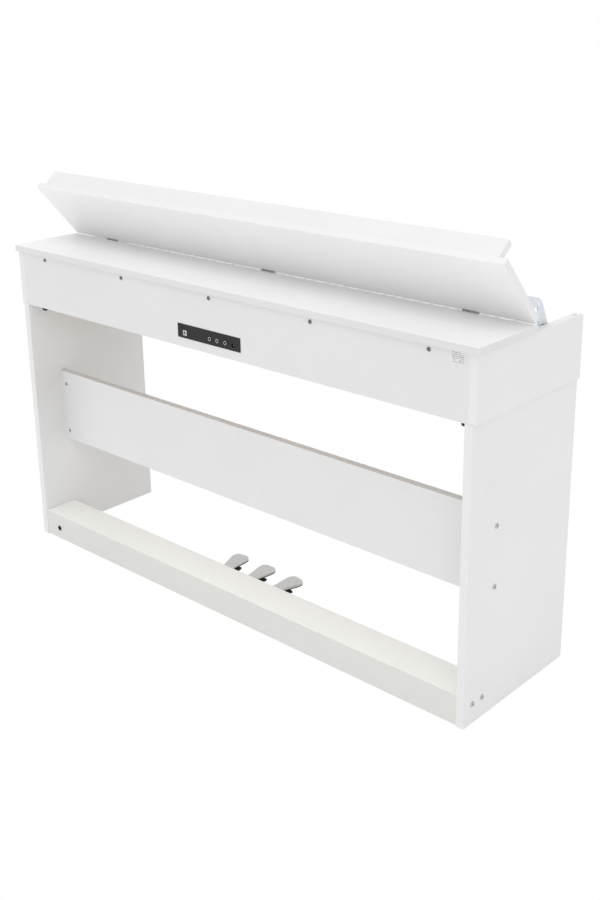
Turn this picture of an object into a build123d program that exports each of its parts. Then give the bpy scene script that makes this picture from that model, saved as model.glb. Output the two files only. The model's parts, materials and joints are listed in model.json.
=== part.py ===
from build123d import *

import os
from math import cos, radians, sin, tan

# Digital piano on a panel stand.  X runs along the keyboard (treble is +X), the player sits on the
# -Y side, Z is up from the floor.  The lid is modelled standing open, leaning on its two stays.

# ---- Keyboard ------------------------------------------------------------------------------------
key_pitch = 23.5
white_count = 52
black_count = 36
key_gap = 1.0
white_visible = 150.0
white_body = 13.4
white_skirt = 20.0
white_head = 52.0
black_width = 10.5
black_setback = 55.0
black_rise = 12.0
black_slot_gap = 1.25
black_front_slope = 4.0
key_dip = 10.0
key_tail = 12.0
key_groups = 4

# ---- Case ----------------------------------------------------------------------------------------
total_depth = 368.0
case_height = 149.5
board_t = 15.0
panel_t = 18.0
top_board_depth = 190.0
top_side_overhang = 5.0
case_rear_setback = 5.5
case_front_setback = 1.5
key_block_width = 55.0
key_block_gap = 1.5
stay_space = 5.5
cheek_rear_step = 0.8
cheek_front_fall = 0.0
cheek_corner_r = 4.0
key_front_gap = 3.5
white_above_slip = 17.0
block_below_white = 2.0

# ---- Stand ---------------------------------------------------------------------------------------
stand_height = 638.0
case_side_overhang = 6.0
stand_rear_setback = 4.0
modesty_height = 187.0
modesty_z = 255.0
modesty_rear_inset = 83.0
modesty_corner_r = 5.0
pedal_box_depth = 90.0
pedal_box_height = 67.0
pedal_box_lift = 2.0
pedal_box_rear_inset = 1.0
box_end_t = 20.0

# ---- Lid, hinges, stays --------------------------------------------------------------------------
lid_open_angle = 49.4
lid_closed_fall = 0.0
lid_t = 15.0
lid_front_overhang = 2.1
lid_side_gap = 2.0
strip_t = 15.0
strip_height = 43.0
key_slip_gap = 3.0
hinge_gap = 2.0
hinge_rise = 0.3
hinge_width = 38.0
hinge_end_inset = 151.0
knuckle_r = 3.2
knuckle_clearance = 0.3
leaf_t = 0.8
leaf_height = 14.0
hinge_pin_r = 1.5
running_clearance = 0.05
knuckle_end_gap = 0.3
stay_t = 2.0
stay_cheek_gap = 2.0
stay_flange_width = 16.0
stay_flange_t = 2.0
stay_flange_span = (14.0, 62.0)
stay_apex_r = 30.0
stay_hole_at = (-6.4, 36.0)
stay_hole_r = 6.0
stop_pin_r = 3.0
stop_pin_reach = 8.0
stop_pin_radius = 83.0
stop_pin_angle = 147.4
bumper_r = 4.0
bumper_from_front = 18.0
contact_gap = 0.1

# ---- Pedals --------------------------------------------------------------------------------------
pedal_spacing = 80.0
pedal_reach = 82.0
pedal_tip_width = 44.0
pedal_neck_width = 30.0
pedal_neck_length = 20.0
pedal_tip_length = 22.0
pedal_tip_r = 15.0
pedal_waist_r = 40.0
pedal_splay = 10.0
pedal_rise_angle = 2.4
pedal_bend = 4.0
pedal_rib_width = 33.0
pedal_rib_reach = 44.0
pedal_rib_drop = 7.0
pedal_rib_t = 5.0
pedal_web_width = 24.0
pedal_web_reach = 14.0
pedal_neck_inside = 12.0
pedal_t = 7.0
pedal_top_below_box = 12.0
pedal_arm_width = 18.0
pedal_arm_height = 12.0
pedal_arm_drop = 9.0
pedal_axle_r = 3.0
pedal_axle_inset = 29.0
pedal_slot_gap = 3.0
pedal_guide_t = 2.0
pedal_guide_rim = 4.0
ear_t = 2.0
spring_t = 1.0
spring_width = 12.0
spring_length = 22.0
spring_limb = 1.3
spring_from_front = 20.0

# ---- Fixings, connectors, electronics ------------------------------------------------------------
bolt_r = 3.0
bolt_head_r = 5.5
bolt_head_t = 2.2
bolt_socket_r = 2.0
bolt_socket_depth = 1.4
barrel_r = 5.0
barrel_length = 14.0
barrel_from_end = 18.0
modesty_bolt_insets = (34.0, 22.5)
box_bolt_spread = 16.5
box_bolt_drop = 25.0
grommet_x_inset = 52.0
grommet_rise = 29.5
grommet_r = 6.8
grommet_neck_r = 5.0
grommet_bore_r = 3.6
grommet_rim_t = 1.2
screw_r = 1.8
screw_head_r = 4.5
screw_head_t = 2.4
screw_length = 30.0
rear_screw_drop = 9.5
rear_screw_end_inset = 108.0
batten_size = 20.0
batten_end_gap = 33.0
bracket_t = 2.0
bracket_width = 30.0
bracket_reach = 67.0
bracket_drop = 40.0
bracket_rear_inset = 18.5
bracket_front_inset = 30.0
knob_r = 8.0
knob_height = 17.0
knob_x_inset = 22.0
knob_thread_depth = 12.0

plate_x = 5.0
plate_width = 196.0
plate_height = 32.0
plate_rise = 37.0
plate_t = 1.0
plate_corner_r = 2.0
plate_lip = 4.0
usb_x = 80.5
usb_rise = 33.0
usb_size = 11.6
usb_hole = (8.0, 7.4)
usb_depth = 16.0
jack_xs = (0.2, -23.4, -48.0)
jack_rise = 34.5
jack_bore_r = 3.15
jack_ring_r = 4.4
jack_ring_t = 1.8
jack_body = (15.0, 32.0, 16.0)
jack_bore_depth = 30.0
jack_neck_r = 4.0
inlet_x = -70.8
inlet_rise = 33.2
inlet_r = 4.6
inlet_bore_r = 3.5
inlet_pin_r = 1.05
inlet_depth = 12.0
label_from_side = 43.0
label_drop = 12.5
label_size = (38.0, 21.0)
label_t = 0.3
pcb_size = (220.0, 80.0, 1.6)
pcb_lift = 6.0
pcb_from_rear = 8.0
speaker_x = 420.0
speaker_from_rear = 45.0
speaker_hole_r = 34.0
speaker_flange_r = 40.0
speaker_flange_t = 3.0
speaker_height = 36.0
magnet_r = 22.0
magnet_t = 12.0
grille_t = 1.2
grille_slot = 3.0
grille_bar = 3.0
rod_r = 2.0
frame_plate_t = 3.0
frame_end_gap = 1.0
rail_width = 16.0
front_rail_width = 10.0
front_rail_height = 44.0
front_rail_from_front = 14.0
pivot_gap = 0.6
pivot_behind_top = 54.0
button_r = 4.5
power_button_r = 6.0
button_rise = 1.8
button_travel = 1.2
button_gap = 0.4
button_body = 5.0
volume_knob_r = 9.0
volume_knob_rise = 7.0
volume_shaft_r = 3.0
power_from_front = 24.0
volume_from_front = 58.0
buttons_from_front = (88.0, 104.0, 120.0, 136.0)

# ---- Derived positions ---------------------------------------------------------------------------
key_span = white_count * key_pitch
case_inner = key_span / 2 + key_block_gap + key_block_width + stay_space
case_half = case_inner + panel_t
stand_half = case_half - case_side_overhang
stand_inner = stand_half - panel_t
top_half = case_half + top_side_overhang

front_y = -total_depth / 2
rear_y = total_depth / 2
stand_rear_y = rear_y - stand_rear_setback
case_front_y = front_y + case_front_setback
case_rear_y = rear_y - case_rear_setback
panel_front_y = case_rear_y - board_t
slip_rear_y = case_front_y + board_t
top_front_y = rear_y - top_board_depth

base_top_z = stand_height + board_t
top_z = stand_height + case_height
top_under_z = top_z - board_t

hinge_y = top_front_y - hinge_gap / 2
hinge_z = top_z + hinge_rise
hinge_xs = (-(top_half - hinge_end_inset), 0.0, top_half - hinge_end_inset)
lid_start = hinge_gap / 2
strip_face = hinge_y - case_front_y
lid_reach = strip_face + lid_front_overhang
lid_under = hinge_rise + lid_t
lid_swing = 180.0 + lid_closed_fall - lid_open_angle

strip_low_z = hinge_z - strip_face * tan(radians(lid_closed_fall)) - lid_under - strip_height
slip_top_z = strip_low_z - key_slip_gap
white_top_z = slip_top_z + white_above_slip
black_top_z = white_top_z + black_rise
key_front_y = slip_rear_y + key_front_gap
key_pivot_y = top_front_y + pivot_behind_top
key_rear_y = key_pivot_y + key_tail
key_under_z = white_top_z - white_body
key_pivot_z = key_under_z - pivot_gap
black_front_y = key_front_y + black_setback
black_tall_end_y = key_front_y + white_visible + 5.0
block_top_z = white_top_z - block_below_white
block_inner = key_span / 2 + key_block_gap
block_outer = block_inner + key_block_width

plate_z = stand_height + plate_rise
usb_z = stand_height + usb_rise
jack_z = stand_height + jack_rise
inlet_z = stand_height + inlet_rise
label_x = -(case_half - label_from_side)
label_z = top_under_z - label_drop

modesty_rear_y = stand_rear_y - modesty_rear_inset
modesty_mid_y = modesty_rear_y - panel_t / 2
modesty_bolt_zs = (modesty_z + modesty_height - modesty_bolt_insets[0], modesty_z + modesty_bolt_insets[1])
box_rear_y = stand_rear_y - pedal_box_rear_inset
box_front_y = box_rear_y - pedal_box_depth
box_mid_y = (box_rear_y + box_front_y) / 2
box_top_z = pedal_box_lift + pedal_box_height
box_bolt_z = box_top_z - box_bolt_drop
box_bolt_ys = (box_mid_y - box_bolt_spread, box_mid_y + box_bolt_spread)

pedal_xs = (-pedal_spacing, 0.0, pedal_spacing)
pedal_top_z = box_top_z - pedal_top_below_box
arm_top_z = pedal_top_z - pedal_arm_drop
arm_low_z = arm_top_z - pedal_arm_height
pedal_tip_y = box_front_y - pedal_reach
pedal_axle_y = box_rear_y - pedal_axle_inset
pedal_axle_z = (arm_top_z + arm_low_z) / 2

rear_screw_z = top_under_z - rear_screw_drop
rear_screw_pitch = (case_half - rear_screw_end_inset) / 2
rear_screw_xs = [step * rear_screw_pitch for step in (-2, -1, 0, 1, 2)]

# ---- Stay outline in the lid's own frame: s along the lid from the hinge, n out of its inner face --
stay_lid_far = (68.0, lid_under)
stay_apex = (-3.6, 62.4)
stay_neck_outer = (-62.0, 46.8)
stay_toe_root = (-66.5, 39.0)
stay_toe_tip = (-76.0, 44.5)
stay_toe_end = (-81.5, 33.5)
stay_neck_inner = (-70.0, 26.0)
stay_elbow = (-10.0, 24.0)
stay_lid_near = (12.0, lid_under)

sides = (-1, 1)


def span(centre, size):
    """Limits of a length centred on a value."""
    return (centre - size / 2, centre + size / 2)


def block(x_lim, y_lim, z_lim, mode=Mode.ADD):
    """Box between limits on the three axes."""
    limits = (x_lim, y_lim, z_lim)
    centre = tuple((low + high) / 2 for low, high in limits)
    size = [high - low for low, high in limits]
    with Locations(centre):
        Box(*size, mode=mode)


def rod(axis, along, across, radius, mode=Mode.ADD):
    """Cylinder along one axis between two limits; across gives the other two coordinates in order."""
    middle = (along[0] + along[1]) / 2
    length = abs(along[1] - along[0])
    place = {"x": (middle, *across), "y": (across[0], middle, across[1]), "z": (*across, middle)}[axis]
    turn = {"x": (0, 90, 0), "y": (90, 0, 0), "z": (0, 0, 0)}[axis]
    with Locations(place):
        Cylinder(radius, length, rotation=turn, mode=mode)


def mirrored_span(side, low, high):
    """Limits of a length on one side of the middle, sorted from low to high."""
    return tuple(sorted((side * low, side * high)))


def save(builder, label):
    """Names a finished piece and writes its file."""
    builder.part.label = label
    export_step(builder.part, f"parts/{label}.step")


def lid_plane(s, n, x=0.0):
    """Plane on the open lid: origin at (s, n) from the hinge axis, normal along +X, x_dir up the lid."""
    turn = radians(lid_open_angle)
    y = hinge_y + s * cos(turn) - n * sin(turn)
    z = hinge_z + s * sin(turn) + n * cos(turn)
    return Plane(origin=(x, y, z), x_dir=(0, cos(turn), sin(turn)), z_dir=(1, 0, 0))


def lid_block(x_lim, s_lim, n_lim, mode=Mode.ADD):
    """Box given by limits along X, along the open lid and out of its inner face."""
    with BuildSketch(lid_plane(0, 0, x_lim[0])) as section:
        with Locations(((s_lim[0] + s_lim[1]) / 2, (n_lim[0] + n_lim[1]) / 2)):
            Rectangle(s_lim[1] - s_lim[0], n_lim[1] - n_lim[0])
    extrude(section.sketch, amount=x_lim[1] - x_lim[0], mode=mode)


def profile_x(points, x_lim, mode=Mode.ADD):
    """Extrudes an outline of (y, z) points along X."""
    with BuildSketch(Plane.YZ.offset(x_lim[0])) as section:
        with BuildLine():
            Polyline(*points, close=True)
        make_face()
    extrude(section.sketch, amount=x_lim[1] - x_lim[0], mode=mode)


def black_centres():
    """X of every black key, from the lowest note up."""
    offsets = {1: -2.0 / 23.5, 2: 2.0 / 23.5, 4: -3.0 / 23.5, 5: 0.0, 6: 3.0 / 23.5}
    centres = []
    for boundary in range(1, white_count):
        step = (boundary - 2) % 7
        if step in offsets:
            centres.append(-key_span / 2 + key_pitch * (boundary + offsets[step]))
    return centres


white_centres = [-key_span / 2 + key_pitch * (count + 0.5) for count in range(white_count)]
black_xs = black_centres()

os.makedirs("parts", exist_ok=True)

# ---- Stand side panels ---------------------------------------------------------------------------
for side, name in zip(sides, ("side_panel_bass", "side_panel_treble")):
    with BuildPart() as side_panel:
        panel_x = mirrored_span(side, stand_inner, stand_half)
        block(panel_x, (front_y, stand_rear_y), (0, stand_height))
        for z in modesty_bolt_zs:
            rod("x", panel_x, (modesty_mid_y, z), bolt_r, Mode.SUBTRACT)
        for y in box_bolt_ys:
            rod("x", panel_x, (y, box_bolt_z), bolt_r, Mode.SUBTRACT)
    save(side_panel, name)

# ---- Modesty panel -------------------------------------------------------------------------------
bolt_end = stand_inner - barrel_from_end - barrel_r - 3.0
with BuildPart() as modesty_panel:
    modesty_z_lim = (modesty_z, modesty_z + modesty_height)
    block((-stand_inner, stand_inner), (modesty_rear_y - panel_t, modesty_rear_y), modesty_z_lim)
    fillet(modesty_panel.edges().filter_by(Axis.Y), modesty_corner_r)
    for side in sides:
        for z in modesty_bolt_zs:
            rod("x", mirrored_span(side, bolt_end, stand_inner), (modesty_mid_y, z), bolt_r, Mode.SUBTRACT)
            nut_x = side * (stand_inner - barrel_from_end)
            rod("y", (modesty_rear_y - barrel_length, modesty_rear_y), (nut_x, z), barrel_r, Mode.SUBTRACT)
save(modesty_panel, "modesty_panel")

with BuildPart() as barrel_nuts:
    for side in sides:
        for z in modesty_bolt_zs:
            nut_x = side * (stand_inner - barrel_from_end)
            rod("y", (modesty_rear_y - barrel_length, modesty_rear_y), (nut_x, z), barrel_r)
            rod("x", span(nut_x, 3 * barrel_r), (modesty_mid_y, z), bolt_r, Mode.SUBTRACT)
            block(span(nut_x, 1.4), (modesty_rear_y - 1.5, modesty_rear_y), span(z, 7.0), Mode.SUBTRACT)
save(barrel_nuts, "barrel_nuts")

# ---- Pedal box: three mitred boards and an end block at each side panel -----------------------------
box_x = (-stand_inner, stand_inner)
inner_top_z = box_top_z - board_t
with BuildPart() as pedal_box_rear:
    rear_outline = (
        (box_rear_y, pedal_box_lift),
        (box_rear_y, box_top_z),
        (box_rear_y - board_t, inner_top_z),
        (box_rear_y - board_t, pedal_box_lift),
    )
    profile_x(rear_outline, box_x)
    grommet_at = (stand_inner - grommet_x_inset, pedal_box_lift + grommet_rise)
    rod("y", (box_rear_y - board_t, box_rear_y), grommet_at, grommet_neck_r, Mode.SUBTRACT)
save(pedal_box_rear, "pedal_box_rear")

with BuildPart() as pedal_box_top:
    top_outline = (
        (box_rear_y, box_top_z),
        (box_front_y, box_top_z),
        (box_front_y + board_t, inner_top_z),
        (box_rear_y - board_t, inner_top_z),
    )
    profile_x(top_outline, box_x)
save(pedal_box_top, "pedal_box_top")

slot_x = pedal_neck_width / 2 + pedal_slot_gap
pedal_drop = 8.0
slot_z = (arm_low_z - pedal_drop, pedal_top_z + pedal_slot_gap)
with BuildPart() as pedal_box_front:
    front_outline = (
        (box_front_y, box_top_z),
        (box_front_y, pedal_box_lift),
        (box_front_y + board_t, pedal_box_lift),
        (box_front_y + board_t, inner_top_z),
    )
    profile_x(front_outline, box_x)
    for x in pedal_xs:
        block((x - slot_x, x + slot_x), (box_front_y, box_front_y + board_t), slot_z, Mode.SUBTRACT)
save(pedal_box_front, "pedal_box_front")

with BuildPart() as pedal_box_ends:
    for side in sides:
        end_x = mirrored_span(side, stand_inner - box_end_t, stand_inner)
        block(end_x, (box_front_y + board_t, box_rear_y - board_t), (pedal_box_lift, inner_top_z))
        for y in box_bolt_ys:
            rod("x", end_x, (y, box_bolt_z), bolt_r, Mode.SUBTRACT)
save(pedal_box_ends, "pedal_box_ends")

with BuildPart() as pedal_cable_grommet:
    rod("y", (box_rear_y - board_t, box_rear_y), grommet_at, grommet_neck_r)
    rod("y", (box_rear_y, box_rear_y + grommet_rim_t), grommet_at, grommet_r)
    grommet_y = (box_rear_y - board_t, box_rear_y + grommet_rim_t)
    rod("y", grommet_y, grommet_at, grommet_bore_r, Mode.SUBTRACT)
save(pedal_cable_grommet, "pedal_cable_grommet")

# ---- Bolts through the side panels -----------------------------------------------------------------
bolt_places = [(modesty_mid_y, z, bolt_end) for z in modesty_bolt_zs]
bolt_places += [(y, box_bolt_z, stand_inner - box_end_t) for y in box_bolt_ys]
with BuildPart() as stand_bolts:
    for side in sides:
        for y, z, tip in bolt_places:
            rod("x", mirrored_span(side, tip, stand_half), (y, z), bolt_r)
            rod("x", mirrored_span(side, stand_half, stand_half + bolt_head_t), (y, z), bolt_head_r)
            socket = mirrored_span(side, stand_half + bolt_head_t - bolt_socket_depth, stand_half + bolt_head_t)
            rod("x", socket, (y, z), bolt_socket_r, Mode.SUBTRACT)
save(stand_bolts, "stand_bolts")

# ---- Angle brackets that hold the case on the stand, with their hand-turned bolts ---------------------
bracket_ys = (panel_front_y - bracket_rear_inset, slip_rear_y + bracket_front_inset)
knob_x = stand_inner - knob_x_inset
with BuildPart() as case_brackets:
    for side in sides:
        for y in bracket_ys:
            wall_x = mirrored_span(side, stand_inner - bracket_t, stand_inner)
            leg_x = mirrored_span(side, stand_inner - bracket_reach, stand_inner)
            block(wall_x, span(y, bracket_width), (stand_height - bracket_drop, stand_height))
            block(leg_x, span(y, bracket_width), (stand_height - bracket_t, stand_height))
            rod("z", (stand_height - bracket_t, stand_height), (side * knob_x, y), bolt_r, Mode.SUBTRACT)
save(case_brackets, "case_brackets")

with BuildPart() as case_bolts:
    for side in sides:
        for y in bracket_ys:
            under_z = stand_height - bracket_t
            rod("z", (under_z - knob_height, under_z), (side * knob_x, y), knob_r)
            rod("z", (under_z, stand_height + knob_thread_depth), (side * knob_x, y), bolt_r)
save(case_bolts, "case_bolts")

# ---- Pedals ----------------------------------------------------------------------------------------
bend_y = box_front_y - pedal_bend
neck_end_y = box_front_y + pedal_neck_inside
half_neck = pedal_neck_width / 2
half_tip = pedal_tip_width / 2
rise = radians(pedal_rise_angle)
paddle_length = pedal_reach - pedal_bend
web_y = (neck_end_y - 9.0, neck_end_y)


def paddle_point(centre_x, splay, across, forward):
    """Point of the paddle outline; the part in front of the bend is turned outward by the splay."""
    if forward <= 0:
        return (centre_x + across, -forward)
    turned = radians(splay)
    over = across * cos(turned) + forward * sin(turned)
    ahead = forward * cos(turned) - across * sin(turned)
    return (centre_x + over, -ahead)


pedal_names = ("pedal_soft", "pedal_sostenuto", "pedal_damper")
for x, way, name in zip(pedal_xs, (-1, 0, 1), pedal_names):
    paddle_plane = Plane(
        origin=(0, bend_y, pedal_top_z - pedal_t), x_dir=(1, 0, 0), z_dir=(0, sin(rise), cos(rise))
    )
    splay = way * pedal_splay
    outline_left = (
        (-half_neck, bend_y - neck_end_y),
        (-half_neck, 0.0),
        (-half_neck, pedal_neck_length),
        (-half_tip, paddle_length - pedal_tip_length),
        (-half_tip, paddle_length),
    )
    outline = outline_left + tuple((-across, forward) for across, forward in reversed(outline_left))
    points = [paddle_point(x, splay, across, forward) for across, forward in outline]
    with BuildPart() as pedal:
        with BuildSketch(paddle_plane) as paddle:
            with BuildLine():
                Polyline(*points, close=True)
            make_face()
            for corner, corner_r in ((4, pedal_tip_r), (5, pedal_tip_r), (3, pedal_waist_r), (6, pedal_waist_r)):
                fillet(paddle.vertices().sort_by_distance((*points[corner], 0))[0], corner_r)
        extrude(amount=pedal_t)
        fillet(pedal.faces().sort_by(Axis.Z)[-1].edges(), 1.5)
        block(span(x, pedal_arm_width), web_y, (arm_low_z, pedal_top_z - pedal_t))
        block(span(x, pedal_arm_width), (web_y[0], pedal_axle_y + 8.0), (arm_low_z, arm_top_z))
        root_y = (bend_y - pedal_web_reach, neck_end_y)
        block(span(x, pedal_web_width), root_y, (arm_low_z + pedal_rib_t, pedal_top_z - pedal_t + 1.0))
        with BuildSketch(paddle_plane.offset(-pedal_rib_drop)) as rib:
            across = pedal_rib_width / 2
            rib_outline = ((-across, 0.0), (-across, pedal_rib_reach), (across, pedal_rib_reach), (across, 0.0))
            rib_points = [paddle_point(x, splay, *at) for at in rib_outline]
            rib_points += [(x + across, neck_end_y - bend_y), (x - across, neck_end_y - bend_y)]
            with BuildLine():
                Polyline(*rib_points, close=True)
            make_face()
        extrude(rib.sketch, amount=-pedal_rib_t)
        hole_r = pedal_axle_r + running_clearance
        rod("x", span(x, 2 * pedal_arm_width), (pedal_axle_y, pedal_axle_z), hole_r, Mode.SUBTRACT)
    save(pedal, name)

ear_offset = pedal_arm_width / 2 + 2.0
axle_half = pedal_spacing + ear_offset + ear_t + 4.0
with BuildPart() as pedal_axle:
    rod("x", (-axle_half, axle_half), (pedal_axle_y, pedal_axle_z), pedal_axle_r)
save(pedal_axle, "pedal_axle")

plate_y = (box_front_y + board_t, box_rear_y - board_t)
bracket_top_z = pedal_box_lift + ear_t
with BuildPart() as pedal_bracket:
    block((-axle_half - 12.0, axle_half + 12.0), plate_y, (pedal_box_lift, bracket_top_z))
    for x in pedal_xs:
        for side in sides:
            ear_x = tuple(sorted((x + side * ear_offset, x + side * (ear_offset + ear_t))))
            block(ear_x, span(pedal_axle_y, 16.0), (bracket_top_z, arm_top_z + 2.0))
    rod("x", (-axle_half, axle_half), (pedal_axle_y, pedal_axle_z), pedal_axle_r, Mode.SUBTRACT)
save(pedal_bracket, "pedal_bracket")

spring_y = span(box_front_y + board_t + spring_from_front, spring_length)
spring_z = (bracket_top_z, arm_low_z - contact_gap)
for x, name in zip(pedal_xs, ("pedal_spring_soft", "pedal_spring_sostenuto", "pedal_spring_damper")):
    with BuildPart() as pedal_spring:
        leaf_outline = (
            (spring_y[0], spring_z[0]),
            (spring_y[1], spring_z[0]),
            (spring_y[1], spring_z[0] + spring_t),
            (spring_y[0] + spring_limb, spring_z[1] - spring_t),
            (spring_y[1], spring_z[1] - spring_t),
            (spring_y[1], spring_z[1]),
            (spring_y[0], spring_z[1]),
            (spring_y[0], spring_z[1] - spring_t),
            (spring_y[1] - spring_limb, spring_z[0] + spring_t),
            (spring_y[0], spring_z[0] + spring_t),
        )
        profile_x(leaf_outline, span(x, spring_width))
    save(pedal_spring, name)

guide_outer_x = slot_x + pedal_guide_rim
guide_z = (slot_z[0] - pedal_guide_rim, slot_z[1] + pedal_guide_rim)
with BuildPart() as pedal_guides:
    for x in pedal_xs:
        guide_y = (box_front_y - pedal_guide_t, box_front_y)
        block((x - guide_outer_x, x + guide_outer_x), guide_y, guide_z)
        block((x - slot_x, x + slot_x), guide_y, slot_z, Mode.SUBTRACT)
save(pedal_guides, "pedal_guides")

# ---- Case boards -----------------------------------------------------------------------------------
speaker_y = panel_front_y - speaker_from_rear
with BuildPart() as base_board:
    block((-case_inner, case_inner), (slip_rear_y, panel_front_y), (stand_height, base_top_z))
    for side in sides:
        rod("z", (stand_height, base_top_z), (side * speaker_x, speaker_y), speaker_hole_r, Mode.SUBTRACT)
        for y in bracket_ys:
            hole_z = (stand_height, stand_height + knob_thread_depth)
            rod("z", hole_z, (side * knob_x, y), bolt_r, Mode.SUBTRACT)
save(base_board, "base_board")

cheek_top_front_z = top_under_z - cheek_rear_step - cheek_front_fall
turn = radians(lid_open_angle + stop_pin_angle)
pin_y = hinge_y + stop_pin_radius * cos(turn)
pin_z = hinge_z + stop_pin_radius * sin(turn)
for side, name in zip(sides, ("cheek_bass", "cheek_treble")):
    with BuildPart() as cheek:
        cheek_outline = (
            (case_rear_y, stand_height),
            (case_rear_y, top_under_z),
            (top_front_y, top_under_z),
            (top_front_y, top_under_z - cheek_rear_step),
            (case_front_y, cheek_top_front_z),
            (case_front_y, stand_height),
        )
        cheek_x = mirrored_span(side, case_inner, case_half)
        profile_x(cheek_outline, cheek_x)
        front_corner = cheek.edges().filter_by(Axis.X).sort_by_distance((0, case_front_y, cheek_top_front_z))[0]
        fillet(front_corner, cheek_corner_r)
        pin_x = mirrored_span(side, case_inner, case_inner + stop_pin_reach)
        rod("x", pin_x, (pin_y, pin_z), stop_pin_r, Mode.SUBTRACT)
    save(cheek, name)

plate_z_lim = span(plate_z, plate_height - 2 * plate_lip)
plate_x_lim = span(plate_x, plate_width - 2 * plate_lip)
with BuildPart() as rear_panel:
    block((-case_inner, case_inner), (panel_front_y, case_rear_y), (stand_height, top_under_z))
    block(plate_x_lim, (panel_front_y, case_rear_y), plate_z_lim, Mode.SUBTRACT)
    for x in rear_screw_xs:
        rod("y", (panel_front_y, case_rear_y), (x, rear_screw_z), screw_r, Mode.SUBTRACT)
save(rear_panel, "rear_panel")

batten_y = (panel_front_y - batten_size, panel_front_y)
screw_tip_y = case_rear_y - screw_length
with BuildPart() as top_batten:
    batten_half = case_inner - batten_end_gap
    block((-batten_half, batten_half), batten_y, (top_under_z - batten_size, top_under_z))
    for x in rear_screw_xs:
        rod("y", (screw_tip_y, panel_front_y), (x, rear_screw_z), screw_r, Mode.SUBTRACT)
save(top_batten, "top_batten")

with BuildPart() as rear_screws:
    for x in rear_screw_xs:
        rod("y", (screw_tip_y, case_rear_y), (x, rear_screw_z), screw_r)
        rod("y", (case_rear_y, case_rear_y + screw_head_t), (x, rear_screw_z), screw_head_r)
        recess_y = (case_rear_y + screw_head_t - 1.4, case_rear_y + screw_head_t)
        block(span(x, 4.6), recess_y, span(rear_screw_z, 1.0), Mode.SUBTRACT)
        block(span(x, 1.0), recess_y, span(rear_screw_z, 4.6), Mode.SUBTRACT)
save(rear_screws, "rear_screws")

with BuildPart() as top_board:
    block((-top_half, top_half), (top_front_y, rear_y), (top_under_z, top_z))
    for x in hinge_xs:
        rebate_r = knuckle_r + knuckle_clearance
        rod("x", span(x, hinge_width + 1.0), (hinge_y, hinge_z), rebate_r, Mode.SUBTRACT)
save(top_board, "top_board")

with BuildPart() as key_slip:
    block((-case_inner, case_inner), (case_front_y, slip_rear_y), (stand_height, slip_top_z))
save(key_slip, "key_slip")

# ---- Key blocks; the bass one carries the controls ------------------------------------------------
block_y = (key_front_y, top_front_y + 20.0)
control_x = -(block_inner + block_outer) / 2
power_y = key_front_y + power_from_front
volume_y = key_front_y + volume_from_front
button_ys = [key_front_y + setback for setback in buttons_from_front]
pocket_z = (block_top_z - button_body - button_travel - button_gap, block_top_z)
for side, name in zip(sides, ("key_block_bass", "key_block_treble")):
    with BuildPart() as key_block:
        block(mirrored_span(side, block_inner, block_outer), block_y, (base_top_z, block_top_z))
        if side < 0:
            rod("z", pocket_z, (control_x, power_y), power_button_r + button_gap, Mode.SUBTRACT)
            shaft_z = (block_top_z - button_body, block_top_z)
            rod("z", shaft_z, (control_x, volume_y), volume_shaft_r + running_clearance, Mode.SUBTRACT)
            for y in button_ys:
                rod("z", pocket_z, (control_x, y), button_r + button_gap, Mode.SUBTRACT)
    save(key_block, name)

cap_z = (block_top_z - button_body, block_top_z + button_rise)
with BuildPart() as power_button:
    rod("z", cap_z, (control_x, power_y), power_button_r)
save(power_button, "power_button")

with BuildPart() as function_buttons:
    for y in button_ys:
        rod("z", cap_z, (control_x, y), button_r)
save(function_buttons, "function_buttons")

with BuildPart() as volume_knob:
    shaft_top_z = block_top_z + button_gap
    rod("z", (block_top_z - button_body + button_gap, shaft_top_z), (control_x, volume_y), volume_shaft_r)
    rod("z", (shaft_top_z, shaft_top_z + volume_knob_rise), (control_x, volume_y), volume_knob_r)
    chamfer(volume_knob.edges().sort_by(Axis.Z)[-1], 1.0)
    mark_y = (volume_y - volume_knob_r, volume_y - 3.0)
    mark_z = (shaft_top_z + volume_knob_rise - 0.6, shaft_top_z + volume_knob_rise)
    block(span(control_x, 1.2), mark_y, mark_z, Mode.SUBTRACT)
save(volume_knob, "volume_knob")

# ---- Key frame, pivot rod and keys ---------------------------------------------------------------
frame_half = key_span / 2 - frame_end_gap
frame_top_z = base_top_z + frame_plate_t
front_rail_y = key_front_y + front_rail_from_front
with BuildPart() as key_frame:
    block((-frame_half, frame_half), (front_rail_y, key_rear_y), (base_top_z, frame_top_z))
    rail_y = (front_rail_y, front_rail_y + front_rail_width)
    block((-frame_half, frame_half), rail_y, (frame_top_z, frame_top_z + front_rail_height))
    pivot_rail_z = (frame_top_z, key_pivot_z - pivot_gap)
    block((-frame_half, frame_half), span(key_pivot_y, rail_width), pivot_rail_z)
    rod("x", (-frame_half, frame_half), (key_pivot_y, key_pivot_z), rod_r, Mode.SUBTRACT)
save(key_frame, "key_frame")

with BuildPart() as key_pivot_rod:
    rod("x", (-frame_half, frame_half), (key_pivot_y, key_pivot_z), rod_r)
save(key_pivot_rod, "key_pivot_rod")

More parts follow.
